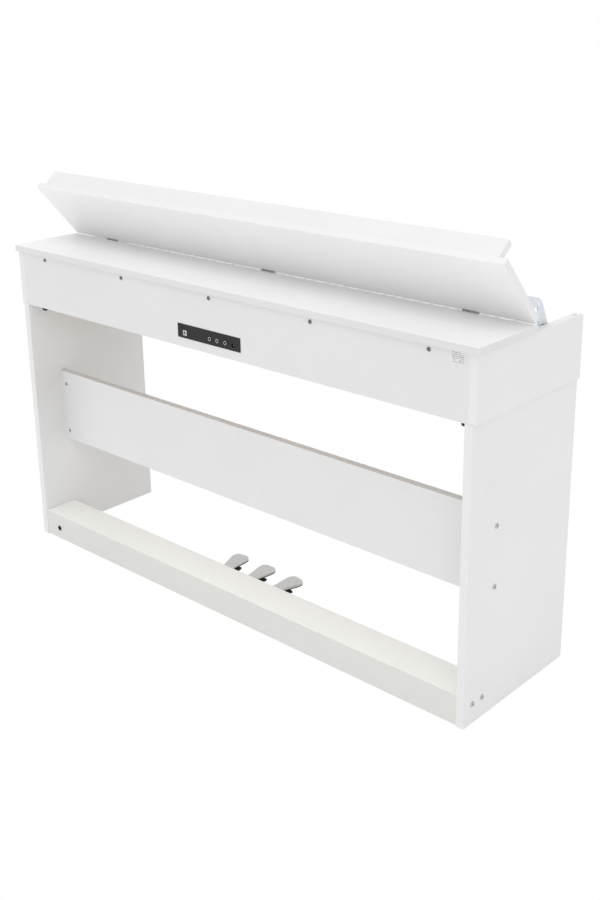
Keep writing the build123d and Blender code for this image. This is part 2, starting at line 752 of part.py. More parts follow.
slot_width = black_width + 2 * black_slot_gap
saddle_r = rod_r + running_clearance
whites_per_group = white_count // key_groups
blacks_per_group = black_count // key_groups
for group in range(key_groups):
    xs = white_centres[group * whites_per_group:(group + 1) * whites_per_group]
    low_x = xs[0] - key_pitch / 2
    high_x = xs[-1] + key_pitch / 2
    with BuildPart() as white_keys:
        for x in xs:
            block(span(x, key_pitch - key_gap), (key_front_y, key_rear_y), (key_under_z, white_top_z))
            skirt_z = (white_top_z - white_skirt, key_under_z)
            block(span(x, key_pitch - key_gap), (key_front_y, key_front_y + white_head), skirt_z)
        for x in black_xs:
            if low_x - key_pitch < x < high_x + key_pitch:
                slot_y = (black_front_y - black_slot_gap, key_rear_y)
                block(span(x, slot_width), slot_y, (key_under_z, white_top_z), Mode.SUBTRACT)
        rod("x", (low_x, high_x), (key_pivot_y, key_pivot_z), saddle_r, Mode.SUBTRACT)
    save(white_keys, f"white_keys_{group + 1}")

for group in range(key_groups):
    xs = black_xs[group * blacks_per_group:(group + 1) * blacks_per_group]
    black_outline = (
        (black_front_y, key_under_z),
        (black_front_y + black_front_slope, black_top_z),
        (black_tall_end_y, black_top_z),
        (black_tall_end_y, white_top_z),
        (key_rear_y, white_top_z),
        (key_rear_y, key_under_z),
    )
    with BuildPart() as black_keys:
        for x in xs:
            profile_x(black_outline, span(x, black_width))
        rod("x", (xs[0] - key_pitch, xs[-1] + key_pitch), (key_pivot_y, key_pivot_z), saddle_r, Mode.SUBTRACT)
    save(black_keys, f"black_keys_{group + 1}")

# ---- Rear connectors -------------------------------------------------------------------------------
plate_y_lim = (case_rear_y, case_rear_y + plate_t)
with BuildPart() as connector_plate:
    block(span(plate_x, plate_width), plate_y_lim, span(plate_z, plate_height))
    fillet(connector_plate.edges().filter_by(Axis.Y), plate_corner_r)
    block(span(usb_x, usb_size), plate_y_lim, span(usb_z, usb_size), Mode.SUBTRACT)
    for x in jack_xs:
        rod("y", plate_y_lim, (x, jack_z), jack_neck_r, Mode.SUBTRACT)
    rod("y", plate_y_lim, (inlet_x, inlet_z), inlet_r, Mode.SUBTRACT)
save(connector_plate, "connector_plate")

with BuildPart() as usb_socket:
    socket_y = (case_rear_y - usb_depth, case_rear_y + plate_t)
    block(span(usb_x, usb_size), socket_y, span(usb_z, usb_size))
    hole_y = (case_rear_y - usb_depth + 2.0, case_rear_y + plate_t)
    block(span(usb_x, usb_hole[0]), hole_y, span(usb_z, usb_hole[1]), Mode.SUBTRACT)
    block(span(usb_x, usb_hole[0] / 2), (hole_y[0], hole_y[1] - 2.5), span(usb_z, usb_hole[1] / 3))
save(usb_socket, "usb_socket")

with BuildPart() as audio_jacks:
    for x in jack_xs:
        body_y = (case_rear_y - jack_body[1], case_rear_y)
        block(span(x, jack_body[0]), body_y, span(jack_z, jack_body[2]))
        rod("y", plate_y_lim, (x, jack_z), jack_neck_r)
        ring_y = (case_rear_y + plate_t, case_rear_y + plate_t + jack_ring_t)
        rod("y", ring_y, (x, jack_z), jack_ring_r)
        bore_y = (ring_y[1] - jack_bore_depth, ring_y[1])
        rod("y", bore_y, (x, jack_z), jack_bore_r, Mode.SUBTRACT)
save(audio_jacks, "audio_jacks")

with BuildPart() as dc_inlet:
    inlet_y = (case_rear_y - inlet_depth, case_rear_y + plate_t)
    rod("y", inlet_y, (inlet_x, inlet_z), inlet_r)
    rod("y", (inlet_y[0] + 2.0, inlet_y[1]), (inlet_x, inlet_z), inlet_bore_r, Mode.SUBTRACT)
    rod("y", (inlet_y[0] + 1.0, inlet_y[1] - 1.5), (inlet_x, inlet_z), inlet_pin_r)
save(dc_inlet, "dc_inlet")

with BuildPart() as rating_label:
    label_y = (case_rear_y, case_rear_y + label_t)
    block(span(label_x, label_size[0]), label_y, span(label_z, label_size[1]))
save(rating_label, "rating_label")

pcb_z = base_top_z + pcb_lift
pcb_y = (panel_front_y - pcb_from_rear - pcb_size[1], panel_front_y - pcb_from_rear)
with BuildPart() as main_board:
    board_top_z = pcb_z + pcb_size[2]
    block(span(plate_x, pcb_size[0]), pcb_y, (pcb_z, board_top_z))
    block(span(plate_x, 24.0), span(pcb_y[0] + 28.0, 24.0), (board_top_z, board_top_z + 2.0))
    block(span(plate_x + 60.0, 16.0), span(pcb_y[0] + 20.0, 12.0), (board_top_z, board_top_z + 2.0))
    for x in (plate_x - 70.0, plate_x - 52.0):
        rod("z", (board_top_z, board_top_z + 14.0), (x, pcb_y[0] + 22.0), 5.0)
    for x in span(plate_x, pcb_size[0] - 16.0):
        for y in span((pcb_y[0] + pcb_y[1]) / 2, pcb_size[1] - 16.0):
            rod("z", (base_top_z, pcb_z), (x, y), 3.0)
save(main_board, "main_board")

# ---- Speakers firing down through the base board --------------------------------------------------
with BuildPart() as speakers:
    for side in sides:
        with BuildSketch(Plane.XZ.offset(-speaker_y)):
            with BuildLine():
                low_z = base_top_z
                rim_z = low_z + speaker_flange_t
                cone_z = low_z + speaker_height - magnet_t
                end_z = low_z + speaker_height
                centre_x = side * speaker_x
                outline = (
                    (centre_x, low_z + 14.0),
                    (centre_x + 8.0, low_z + 12.0),
                    (centre_x + speaker_hole_r - 4.0, low_z),
                    (centre_x + speaker_flange_r, low_z),
                    (centre_x + speaker_flange_r, rim_z),
                    (centre_x + speaker_hole_r, rim_z),
                    (centre_x + magnet_r, cone_z),
                    (centre_x + magnet_r, end_z),
                    (centre_x, end_z),
                )
                Polyline(*outline, close=True)
            make_face()
        speaker_axis = Axis((centre_x, speaker_y, 0), (0, 0, 1))
        revolve(axis=speaker_axis)
save(speakers, "speakers")

with BuildPart() as speaker_grilles:
    for side in sides:
        grille_z = (stand_height - grille_t, stand_height)
        rod("z", grille_z, (side * speaker_x, speaker_y), speaker_flange_r)
        slot_step = grille_slot + grille_bar
        for count in range(-4, 5):
            slot_x_at = side * speaker_x + count * slot_step
            block(span(slot_x_at, grille_slot), span(speaker_y, 40.0), grille_z, Mode.SUBTRACT)
save(speaker_grilles, "speaker_grilles")

# ---- Lid ---------------------------------------------------------------------------------------------
with BuildPart() as lid_panel:
    lid_block((-case_half, case_half), (lid_start, lid_reach), (hinge_rise, lid_under))
    for x in hinge_xs:
        rod("x", span(x, hinge_width + 1.0), (hinge_y, hinge_z), knuckle_r + knuckle_clearance, Mode.SUBTRACT)
save(lid_panel, "lid_panel")

with BuildPart() as lid_front_strip:
    strip_half = case_inner - lid_side_gap
    strip_n = (lid_under, lid_under + strip_height)
    lid_block((-strip_half, strip_half), (strip_face - strip_t, strip_face), strip_n)
save(lid_front_strip, "lid_front_strip")

# ---- Hinges: two outer knuckles on the top board's leaf, one on the lid's leaf ---------------------
third = hinge_width / 3
clear_r = knuckle_r + knuckle_clearance
with BuildPart() as hinge_fixed_leaves:
    for x in hinge_xs:
        middle = span(x, third + 2 * knuckle_end_gap)
        leaf_y = (top_front_y - leaf_t, top_front_y)
        block(span(x, hinge_width), leaf_y, (hinge_z - leaf_height, hinge_z))
        rod("x", span(x, hinge_width), (hinge_y, hinge_z), knuckle_r)
        rod("x", middle, (hinge_y, hinge_z), clear_r, Mode.SUBTRACT)
        rod("x", span(x, hinge_width), (hinge_y, hinge_z), hinge_pin_r, Mode.SUBTRACT)
save(hinge_fixed_leaves, "hinge_fixed_leaves")

with BuildPart() as hinge_lid_leaves:
    for x in hinge_xs:
        leaf_s = (lid_start - leaf_t, lid_start)
        lid_block(span(x, hinge_width), leaf_s, (0, leaf_height))
        for side in sides:
            outer = tuple(sorted((x + side * third / 2, x + side * (hinge_width / 2 + 1.0))))
            rod("x", outer, (hinge_y, hinge_z), clear_r, Mode.SUBTRACT)
        rod("x", span(x, third), (hinge_y, hinge_z), knuckle_r)
        bore_r = hinge_pin_r + running_clearance
        rod("x", span(x, hinge_width), (hinge_y, hinge_z), bore_r, Mode.SUBTRACT)
save(hinge_lid_leaves, "hinge_lid_leaves")

with BuildPart() as hinge_pins:
    for x in hinge_xs:
        rod("x", span(x, hinge_width), (hinge_y, hinge_z), hinge_pin_r)
save(hinge_pins, "hinge_pins")

# ---- Lid stays, the pins that stop them, and the bumpers the closed lid rests on ---------------------
stay_outer = case_inner - stay_cheek_gap
stay_inner = stay_outer - stay_t
with BuildPart() as lid_stays:
    for side in sides:
        stay_x = mirrored_span(side, stay_inner, stay_outer)
        with BuildSketch(lid_plane(0, 0, stay_x[0])) as stay_face:
            with BuildLine():
                Polyline(
                    stay_lid_far, stay_apex, stay_neck_outer, stay_toe_root, stay_toe_tip,
                    stay_toe_end, stay_neck_inner, stay_elbow, stay_lid_near, close=True,
                )
            make_face()
            fillet(stay_face.vertices().sort_by_distance((*stay_apex, 0))[0], stay_apex_r)
            with Locations(stay_hole_at):
                Circle(stay_hole_r, mode=Mode.SUBTRACT)
        extrude(amount=stay_t)
        flange_x = mirrored_span(side, stay_inner - stay_flange_width, stay_inner)
        lid_block(flange_x, stay_flange_span, (lid_under, lid_under + stay_flange_t))
save(lid_stays, "lid_stays")

with BuildPart() as stay_stop_pins:
    for side in sides:
        pin_x = mirrored_span(side, case_inner - stop_pin_reach, case_inner + stop_pin_reach)
        rod("x", pin_x, (pin_y, pin_z), stop_pin_r)
save(stay_stop_pins, "stay_stop_pins")

bumper_y = case_front_y + bumper_from_front
bumper_s = hinge_y - bumper_y
bumper_top_z = hinge_z - bumper_s * tan(radians(lid_closed_fall)) - lid_under - 2 * contact_gap
cheek_fall = cheek_front_fall * (top_front_y - bumper_y - bumper_r) / (top_front_y - case_front_y)
bumper_low_z = top_under_z - cheek_rear_step - cheek_fall
with BuildPart() as lid_bumpers:
    for side in sides:
        bumper_x = side * (case_inner + panel_t / 2)
        rod("z", (bumper_low_z, bumper_top_z), (bumper_x, bumper_y), bumper_r)
save(lid_bumpers, "lid_bumpers")

swing = f"lid swing {lid_swing:.3f} deg about y {hinge_y:.3f} z {hinge_z:.3f}"
print(swing, f"; key pivot y {key_pivot_y:.3f} z {key_pivot_z:.3f}")
print(f"pedal axle y {pedal_axle_y:.3f} z {pedal_axle_z:.3f}; control x {control_x:.3f}")
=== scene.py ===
import json
import math

import bmesh
import bpy
from mathutils import Matrix, Vector

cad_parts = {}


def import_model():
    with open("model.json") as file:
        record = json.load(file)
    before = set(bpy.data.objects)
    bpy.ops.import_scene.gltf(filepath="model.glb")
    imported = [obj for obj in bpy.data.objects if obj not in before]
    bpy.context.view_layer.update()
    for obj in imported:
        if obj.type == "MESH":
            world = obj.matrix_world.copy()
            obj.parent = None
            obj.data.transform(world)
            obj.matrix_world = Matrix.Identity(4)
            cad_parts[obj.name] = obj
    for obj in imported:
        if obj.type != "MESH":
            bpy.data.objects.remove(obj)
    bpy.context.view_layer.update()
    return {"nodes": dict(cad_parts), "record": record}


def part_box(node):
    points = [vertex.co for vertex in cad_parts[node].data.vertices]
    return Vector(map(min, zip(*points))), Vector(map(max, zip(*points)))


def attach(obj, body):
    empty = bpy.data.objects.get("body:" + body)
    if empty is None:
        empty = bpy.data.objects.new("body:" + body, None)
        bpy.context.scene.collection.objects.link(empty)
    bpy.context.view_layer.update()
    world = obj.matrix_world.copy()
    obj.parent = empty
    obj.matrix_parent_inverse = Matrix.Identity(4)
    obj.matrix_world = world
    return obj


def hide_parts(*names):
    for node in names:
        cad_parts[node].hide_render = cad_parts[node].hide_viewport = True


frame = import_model()
MM = 0.001

# Threads of the fasteners
BOLT_THREAD_R = 2.95 * MM
SCREW_THREAD_R = 1.75 * MM

# Pedal castings: where the paddle bends down into its arm, and where the bright top ends
PEDAL_BEND_Y = 0.085
PEDAL_UNDER_Z = 0.050
PEDAL_BRIGHT_RISE = 0.0028
PEDAL_SLOPE = math.radians(2.4)

# Studio cove, in metres
FLOOR_R = 9.0
COVE_R = 2.0
WALL_TOP = 9.0

# ---------------------------------------------------------------------------------------------------
# Node helpers
# ---------------------------------------------------------------------------------------------------


def group_of(name, inputs, outputs):
    """New shader node group with named sockets; returns the group, its input node and output node."""
    group = bpy.data.node_groups.new(name, "ShaderNodeTree")
    for label, kind, value in inputs:
        socket = group.interface.new_socket(label, in_out="INPUT", socket_type=kind)
        socket.default_value = value
    for label, kind in outputs:
        group.interface.new_socket(label, in_out="OUTPUT", socket_type=kind)
    return group, group.nodes.new("NodeGroupInput"), group.nodes.new("NodeGroupOutput")


def node(tree, kind, links=None, **values):
    """Adds a node. Keyword values set its attributes; links maps its inputs to sockets or values."""
    made = tree.nodes.new(kind)
    for key, value in values.items():
        setattr(made, key, value)
    for key, value in (links or {}).items():
        socket = made.inputs[key]
        if isinstance(value, bpy.types.NodeSocket):
            tree.links.new(value, socket)
        else:
            socket.default_value = value
    return made


def noise(tree, coords, scale, detail=3.0, roughness=0.5):
    """Noise value at a scale given in cycles per metre."""
    made = node(tree, "ShaderNodeTexNoise", {"Vector": coords, "Scale": scale, "Detail": detail,
                                             "Roughness": roughness})
    return made.outputs["Fac"]


def remap(tree, value, low, high, to_low, to_high):
    """Maps a value from one range to another and holds it inside."""
    made = node(tree, "ShaderNodeMapRange", {"Value": value, "From Min": low, "From Max": high,
                                             "To Min": to_low, "To Max": to_high})
    return made.outputs["Result"]


def maths(tree, operation, first, second):
    """One maths node."""
    return node(tree, "ShaderNodeMath", {0: first, 1: second}, operation=operation).outputs[0]


def shade(tree, colour, factor):
    """Multiplies a colour by a grey factor."""
    made = node(tree, "ShaderNodeVectorMath", {0: colour, 1: factor}, operation="MULTIPLY")
    return made.outputs[0]


def board_group():
    """Melamine or foil face: faint mottling, fine peel, a few handling smudges."""
    group, given, out = group_of(
        "BoardFinish",
        [("Tint", "NodeSocketColor", (0.8, 0.8, 0.8, 1)), ("Gloss", "NodeSocketFloat", 0.45),
         ("Peel", "NodeSocketFloat", 1.0), ("Wear", "NodeSocketFloat", 0.0)],
        [("Color", "NodeSocketColor"), ("Roughness", "NodeSocketFloat"), ("Height", "NodeSocketFloat")])
    coords = node(group, "ShaderNodeTexCoord").outputs["Object"]
    mottle = remap(group, noise(group, coords, 4.0, 4.0), 0.3, 0.7, 0.985, 1.012)
    cloud = remap(group, noise(group, coords, 22.0, 6.0, 0.65), 0.25, 0.75, 0.992, 1.006)
    specks = node(group, "ShaderNodeTexVoronoi", {"Vector": coords, "Scale": 140.0}).outputs["Distance"]
    speck = remap(group, specks, 0.03, 0.07, 0.965, 1.0)
    scuff_noise = noise(group, coords, 260.0, 5.0, 0.7)
    scuff = remap(group, scuff_noise, 0.52, 0.7, 0.0, 1.0)
    worn = maths(group, "MULTIPLY", scuff, given.outputs["Wear"])
    wear_shade = remap(group, worn, 0.0, 1.0, 1.0, 0.86)
    tone = maths(group, "MULTIPLY", maths(group, "MULTIPLY", mottle, cloud),
                 maths(group, "MULTIPLY", speck, wear_shade))
    group.links.new(shade(group, given.outputs["Tint"], tone), out.inputs["Color"])
    smudge = remap(group, noise(group, coords, 9.0, 5.0, 0.6), 0.45, 0.75, 0.0, 0.10)
    rough = maths(group, "ADD", given.outputs["Gloss"], smudge)
    rough = maths(group, "ADD", rough, maths(group, "MULTIPLY", worn, 0.2))
    group.links.new(rough, out.inputs["Roughness"])
    peel = noise(group, coords, 900.0, 2.0)
    wave = noise(group, coords, 60.0, 2.0)
    height = maths(group, "ADD", maths(group, "MULTIPLY", peel, given.outputs["Peel"]),
                   maths(group, "MULTIPLY", wave, 0.6))
    height = maths(group, "SUBTRACT", height, maths(group, "MULTIPLY", worn, 1.5))
    group.links.new(height, out.inputs["Height"])
    return group


def metal_group():
    """Drawn or plated metal: lines along X, blotches in the plating, small pits."""
    group, given, out = group_of(
        "MetalFinish",
        [("Tint", "NodeSocketColor", (0.6, 0.6, 0.6, 1)), ("Base Roughness", "NodeSocketFloat", 0.3),
         ("Lines", "NodeSocketFloat", 1.0), ("Stretch", "NodeSocketVector", (0.06, 1.0, 1.0))],
        [("Color", "NodeSocketColor"), ("Roughness", "NodeSocketFloat"), ("Height", "NodeSocketFloat")])
    coords = node(group, "ShaderNodeTexCoord").outputs["Object"]
    drawn = node(group, "ShaderNodeVectorMath", {0: coords, 1: given.outputs["Stretch"]},
                 operation="MULTIPLY")
    lines = noise(group, drawn.outputs[0], 2600.0, 3.0)
    blotch = noise(group, coords, 120.0, 5.0, 0.6)
    tone = maths(group, "MULTIPLY", remap(group, blotch, 0.3, 0.7, 0.9, 1.06),
                 remap(group, lines, 0.3, 0.7, 0.94, 1.04))
    group.links.new(shade(group, given.outputs["Tint"], tone), out.inputs["Color"])
    worn_plating = remap(group, blotch, 0.4, 0.8, -0.04, 0.14)
    rough = maths(group, "ADD", given.outputs["Base Roughness"], worn_plating)
    group.links.new(rough, out.inputs["Roughness"])
    pits = node(group, "ShaderNodeTexVoronoi", {"Vector": coords, "Scale": 900.0}).outputs["Distance"]
    height = maths(group, "ADD", maths(group, "MULTIPLY", lines, given.outputs["Lines"]),
                   remap(group, pits, 0.0, 0.12, -0.4, 0.0))
    group.links.new(height, out.inputs["Height"])
    return group


def plastic_group():
    """Moulded plastic: spark-eroded grain, a little dust and faint flow marks."""
    group, given, out = group_of(
        "PlasticFinish",
        [("Tint", "NodeSocketColor", (0.03, 0.03, 0.03, 1)), ("Base Roughness", "NodeSocketFloat", 0.5),
         ("Grain", "NodeSocketFloat", 1.0), ("Dust", "NodeSocketFloat", 0.3)],
        [("Color", "NodeSocketColor"), ("Roughness", "NodeSocketFloat"), ("Height", "NodeSocketFloat")])
    coords = node(group, "ShaderNodeTexCoord").outputs["Object"]
    grain = node(group, "ShaderNodeTexVoronoi", {"Vector": coords, "Scale": 1600.0}).outputs["Distance"]
    flow = noise(group, coords, 30.0, 4.0, 0.6)
    dust = remap(group, noise(group, coords, 420.0, 4.0, 0.75), 0.6, 0.78, 0.0, 1.0)
    dusted = maths(group, "MULTIPLY", dust, given.outputs["Dust"])
    mix = node(group, "ShaderNodeMix", {"Factor": dusted}, data_type="RGBA")
    flow_tone = remap(group, flow, 0.3, 0.7, 0.93, 1.06)
    group.links.new(shade(group, given.outputs["Tint"], flow_tone), mix.inputs["A"])
    mix.inputs["B"].default_value = (0.35, 0.35, 0.34, 1)
    group.links.new(mix.outputs["Result"], out.inputs["Color"])
    flow_gloss = remap(group, flow, 0.35, 0.75, -0.05, 0.08)
    rough = maths(group, "ADD", given.outputs["Base Roughness"], flow_gloss)
    rough = maths(group, "ADD", rough, maths(group, "MULTIPLY", dusted, 0.3))
    group.links.new(rough, out.inputs["Roughness"])
    group.links.new(maths(group, "MULTIPLY", grain, given.outputs["Grain"]), out.inputs["Height"])
    return group


BOARD = board_group()
METAL = metal_group()
PLASTIC = plastic_group()


def material(name, group, settings, bump=(0.2, 0.0002), **shader):
    """Principled material fed by one of the shared groups."""
    made = bpy.data.materials.new(name)
    made.use_nodes = True
    tree = made.node_tree
    tree.nodes.clear()
    surface = node(tree, "ShaderNodeBsdfPrincipled")
    for key, value in shader.items():
        surface.inputs[key.replace("_", " ")].default_value = value
    finish = tree.nodes.new("ShaderNodeGroup")
    finish.node_tree = group
    for key, value in settings.items():
        finish.inputs[key].default_value = value
    tree.links.new(finish.outputs["Color"], surface.inputs["Base Color"])
    tree.links.new(finish.outputs["Roughness"], surface.inputs["Roughness"])
    raised = node(tree, "ShaderNodeBump", {"Strength": bump[0], "Distance": bump[1],
                                           "Height": finish.outputs["Height"]})
    tree.links.new(raised.outputs["Normal"], surface.inputs["Normal"])
    end = node(tree, "ShaderNodeOutputMaterial")
    tree.links.new(surface.outputs[0], end.inputs["Surface"])
    return made


def grey(value):
    """Linear grey colour."""
    return (value, value, value, 1.0)


white_face = material("white_face", BOARD, {"Tint": grey(0.738), "Gloss": 0.42, "Peel": 1.0})
# Rear panel: the same white melamine, darker as painted shade on the back face.
shaded_rear_face = material("shaded_rear_face", BOARD, {"Tint": grey(0.71), "Gloss": 0.42, "Peel": 1.0})
# Top board's narrow faces: the edge banding, darker as painted shade.
shaded_top_band = material("shaded_top_band", BOARD, {"Tint": grey(0.685), "Gloss": 0.42, "Peel": 0.6})
# Lid panel: the same white melamine, lighter as painted light on its shaded face.
lit_lid_face = material("lit_lid_face", BOARD, {"Tint": grey(0.85), "Gloss": 0.42, "Peel": 1.0})
# Top board: the same white melamine, lighter as painted light on the upward face.
lit_top_face = material("lit_top_face", BOARD, {"Tint": grey(0.82), "Gloss": 0.40, "Peel": 1.0})
white_band = material("white_band", BOARD, {"Tint": grey(0.75), "Gloss": 0.40, "Peel": 0.5})
white_arris = material("white_arris", BOARD, {"Tint": grey(0.79), "Gloss": 0.38, "Peel": 0.4, "Wear": 0.5})
warm_face = material("warm_face", BOARD, {"Tint": (0.68, 0.685, 0.66, 1), "Gloss": 0.46, "Peel": 1.4})
warm_arris = material("warm_arris", BOARD, {"Tint": (0.74, 0.745, 0.72, 1), "Gloss": 0.42, "Peel": 0.8,
                                             "Wear": 0.6})
# Pedal box top: the same foil as its front and rear, lighter as painted light.
lit_warm_top = material("lit_warm_top", BOARD, {"Tint": (0.865, 0.87, 0.84, 1), "Gloss": 0.46, "Peel": 1.4})
raw_board = material("raw_board", BOARD, {"Tint": (0.42, 0.31, 0.21, 1), "Gloss": 0.75, "Peel": 3.0,
                                          "Wear": 0.8})
white_steel = material("white_steel", BOARD, {"Tint": grey(0.74), "Gloss": 0.40, "Peel": 2.0, "Wear": 0.3})
zinc = material("zinc", METAL, {"Tint": (0.50, 0.52, 0.55, 1), "Base Roughness": 0.30, "Lines": 0.5},
                Metallic=1.0)
hinge_metal = material("hinge_metal", METAL, {"Tint": (0.27, 0.28, 0.30, 1), "Base Roughness": 0.33,
                                              "Lines": 0.6}, Metallic=1.0)
stay_metal = material("stay_metal", METAL, {"Tint": (0.72, 0.76, 0.81, 1), "Base Roughness": 0.42,
                                            "Lines": 0.5}, Metallic=0.75)
nickel = material("nickel", METAL, {"Tint": (0.70, 0.69, 0.66, 1), "Base Roughness": 0.16, "Lines": 0.3},
                  Metallic=1.0)
satin_nickel = material("satin_nickel", METAL, {"Tint": (0.59, 0.585, 0.575, 1), "Base Roughness": 0.32,
                                                "Lines": 0.15, "Stretch": (1.0, 0.06, 1.0)}, Metallic=1.0)
screw_metal = material("screw_metal", METAL, {"Tint": (0.21, 0.215, 0.22, 1), "Base Roughness": 0.34,
                                              "Lines": 0.5}, Metallic=1.0)
nut_metal = material("nut_metal", METAL, {"Tint": (0.66, 0.64, 0.60, 1), "Base Roughness": 0.2,
                                          "Lines": 0.3}, Metallic=1.0)
dark_steel = material("dark_steel", METAL, {"Tint": (0.05, 0.05, 0.055, 1), "Base Roughness": 0.45,
                                            "Lines": 0.5}, Metallic=0.8)
plate_black = material("plate_black", PLASTIC, {"Tint": (0.014, 0.014, 0.015, 1), "Base Roughness": 0.55,
                                                "Grain": 1.0, "Dust": 0.03}, Specular_IOR_Level=0.3)
throat_black = material("throat_black", PLASTIC, {"Tint": (0.006, 0.006, 0.006, 1), "Base Roughness": 0.8,
                                                  "Grain": 0.5, "Dust": 0.0}, Specular_IOR_Level=0.1)
insert_white = material("insert_white", PLASTIC, {"Tint": (0.78, 0.78, 0.76, 1), "Base Roughness": 0.4,
                                                  "Grain": 0.4, "Dust": 0.0})
clear_soft = material("clear_soft", PLASTIC, {"Tint": (0.80, 0.81, 0.80, 1), "Base Roughness": 0.3,
                                              "Grain": 0.4, "Dust": 0.0}, Transmission_Weight=0.3)
black_soft = material("black_soft", PLASTIC, {"Tint": (0.02, 0.02, 0.02, 1), "Base Roughness": 0.65,
                                              "Grain": 1.5, "Dust": 0.08})
key_white = material("key_white", PLASTIC, {"Tint": (0.83, 0.82, 0.78, 1), "Base Roughness": 0.20,
                                            "Grain": 0.15, "Dust": 0.0},
                     Coat_Weight=0.3, Coat_Roughness=0.12)
key_black = material("key_black", PLASTIC, {"Tint": (0.012, 0.012, 0.013, 1), "Base Roughness": 0.34,
                                            "Grain": 0.5, "Dust": 0.03})
grey_plastic = material("grey_plastic", PLASTIC, {"Tint": (0.10, 0.10, 0.11, 1), "Base Roughness": 0.5,
                                                  "Grain": 1.0, "Dust": 0.1})
green_mask = material("green_mask", PLASTIC, {"Tint": (0.02, 0.14, 0.05, 1), "Base Roughness": 0.28,
                                              "Grain": 0.4, "Dust": 0.1}, Coat_Weight=0.4)


def label_material():
    """Silver-grey foil sticker with rows of plain broken bars instead of printing."""
    made = material("label_foil", PLASTIC, {"Tint": (0.70, 0.705, 0.70, 1), "Base Roughness": 0.40,
                                            "Grain": 0.2, "Dust": 0.0})
    tree = made.node_tree
    bar_rows = 6.0
    low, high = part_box("rating_label")
    coords = node(tree, "ShaderNodeTexCoord").outputs["Object"]
    split = node(tree, "ShaderNodeSeparateXYZ", {"Vector": coords})
    u = remap(tree, split.outputs["X"], high.x, low.x, 0.0, 1.0)
    v = remap(tree, split.outputs["Z"], low.z, high.z, 0.0, 1.0)
    rows = maths(tree, "PINGPONG", maths(tree, "MULTIPLY", v, bar_rows), 0.5)
    ink = maths(tree, "GREATER_THAN", rows, 0.27)
    row_at = maths(tree, "FLOOR", maths(tree, "MULTIPLY", v, bar_rows), 0.0)
    seed = node(tree, "ShaderNodeCombineXYZ", {"X": maths(tree, "MULTIPLY", u, 14.0),
                                               "Y": maths(tree, "MULTIPLY", row_at, 3.7)})
    breaks = node(tree, "ShaderNodeTexNoise", {"Vector": seed.outputs[0], "Scale": 1.0, "Detail": 0.0})
    words = maths(tree, "GREATER_THAN", breaks.outputs["Fac"], 0.44)
    margin_left, margin_right = maths(tree, "GREATER_THAN", u, 0.16), maths(tree, "LESS_THAN", u, 0.84)
    inside = maths(tree, "MULTIPLY", margin_left, margin_right)
    ink = maths(tree, "MULTIPLY", maths(tree, "MULTIPLY", ink, words), inside)
    mix = node(tree, "ShaderNodeMix", {"Factor": maths(tree, "MULTIPLY", ink, 0.7)}, data_type="RGBA")
    surface = next(n for n in tree.nodes if n.type == "BSDF_PRINCIPLED")
    tree.links.new(surface.inputs["Base Color"].links[0].from_socket, mix.inputs["A"])
    mix.inputs["B"].default_value = (0.16, 0.16, 0.17, 1)
    tree.links.new(mix.outputs["Result"], surface.inputs["Base Color"])
    return made


label_foil = label_material()

# ---------------------------------------------------------------------------------------------------
# Mesh helpers
# ---------------------------------------------------------------------------------------------------
record = frame["record"]
BODY = {name: body for body, names in record["behaviour"]["bodies"].items() for name in names}


def place(name, mesh, body, replaced=()):
    """Links a finished mesh to the scene and ties it to its body."""
    piece = bpy.data.objects.new(name, mesh)
    bpy.context.scene.collection.objects.link(piece)
    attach(piece, body)
    if replaced:
        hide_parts(*replaced)
    return piece


def welded(name):
    """The node's own mesh as clean polygons."""
    mesh = bmesh.new()
    mesh.from_mesh(frame["nodes"][name].data)
    bmesh.ops.remove_doubles(mesh, verts=mesh.verts, dist=2e-6)
    bmesh.ops.dissolve_limit(mesh, angle_limit=math.radians(0.5), verts=mesh.verts, edges=mesh.edges)
    return mesh


def soften(piece, width, segments=3, material_index=-1, angle=35):
    """Rounds sharp edges of a piece and keeps its flats flat."""
    bevel = piece.modifiers.new("arris", "BEVEL")
    bevel.width = width
    bevel.segments = segments
    bevel.limit_method = "ANGLE"
    bevel.angle_limit = math.radians(angle)
    bevel.material = material_index
    bevel.harden_normals = True
    for face in piece.data.polygons:
        face.use_smooth = True
    flats = piece.modifiers.new("flats", "WEIGHTED_NORMAL")
    flats.weight = 100
    flats.keep_sharp = True
    return piece


def dress(name, materials, width=0.3 * MM, segments=2, band=False, arris=False, angle=35):
    """Rebuilds a node with rounded edges. band gives narrow faces the second material, arris the last."""
    mesh = welded(name)
    if band:
        broad = max(mesh.faces, key=lambda face: face.calc_area()).normal.copy()
        for face in mesh.faces:
            face.material_index = 0 if abs(face.normal.dot(broad)) > 0.7 else 1
    else:
        for face in mesh.faces:
            face.material_index = 0
    data = bpy.data.meshes.new(name + "_dressed")
    mesh.to_mesh(data)
    mesh.free()
    for finish in materials:
        data.materials.append(finish)
    piece = place(name + "_dressed", data, BODY[name], (name,))
    soften(piece, width, segments, len(materials) - 1 if arris else -1, angle)
    return piece


def finish_node(name, finish):
    """Keeps the CAD mesh and only changes what it is made of."""
    data = frame["nodes"][name].data
    data.materials.clear()
    data.materials.append(finish)


def lathe(mesh, profile, matrix, steps=40, index=0):
    """Turns (radius, height) points round the local Z axis into the mesh."""
    rings = []
    for radius, height in profile:
        if radius < 1e-7:
            rings.append([mesh.verts.new(matrix @ Vector((0, 0, height)))])
            continue
        rings.append([mesh.verts.new(matrix @ Vector((x, y, height))) for x, y in ring_of(radius, steps)])
    for lower, upper in zip(rings, rings[1:]):
        for step in range(steps):
            after = (step + 1) % steps
            if len(lower) == 1:
                face = mesh.faces.new((lower[0], upper[step], upper[after]))
            elif len(upper) == 1:
                face = mesh.faces.new((lower[step], upper[0], lower[after]))
            else:
                face = mesh.faces.new((lower[step], upper[step], upper[after], lower[after]))
            face.material_index = index
            face.smooth = True


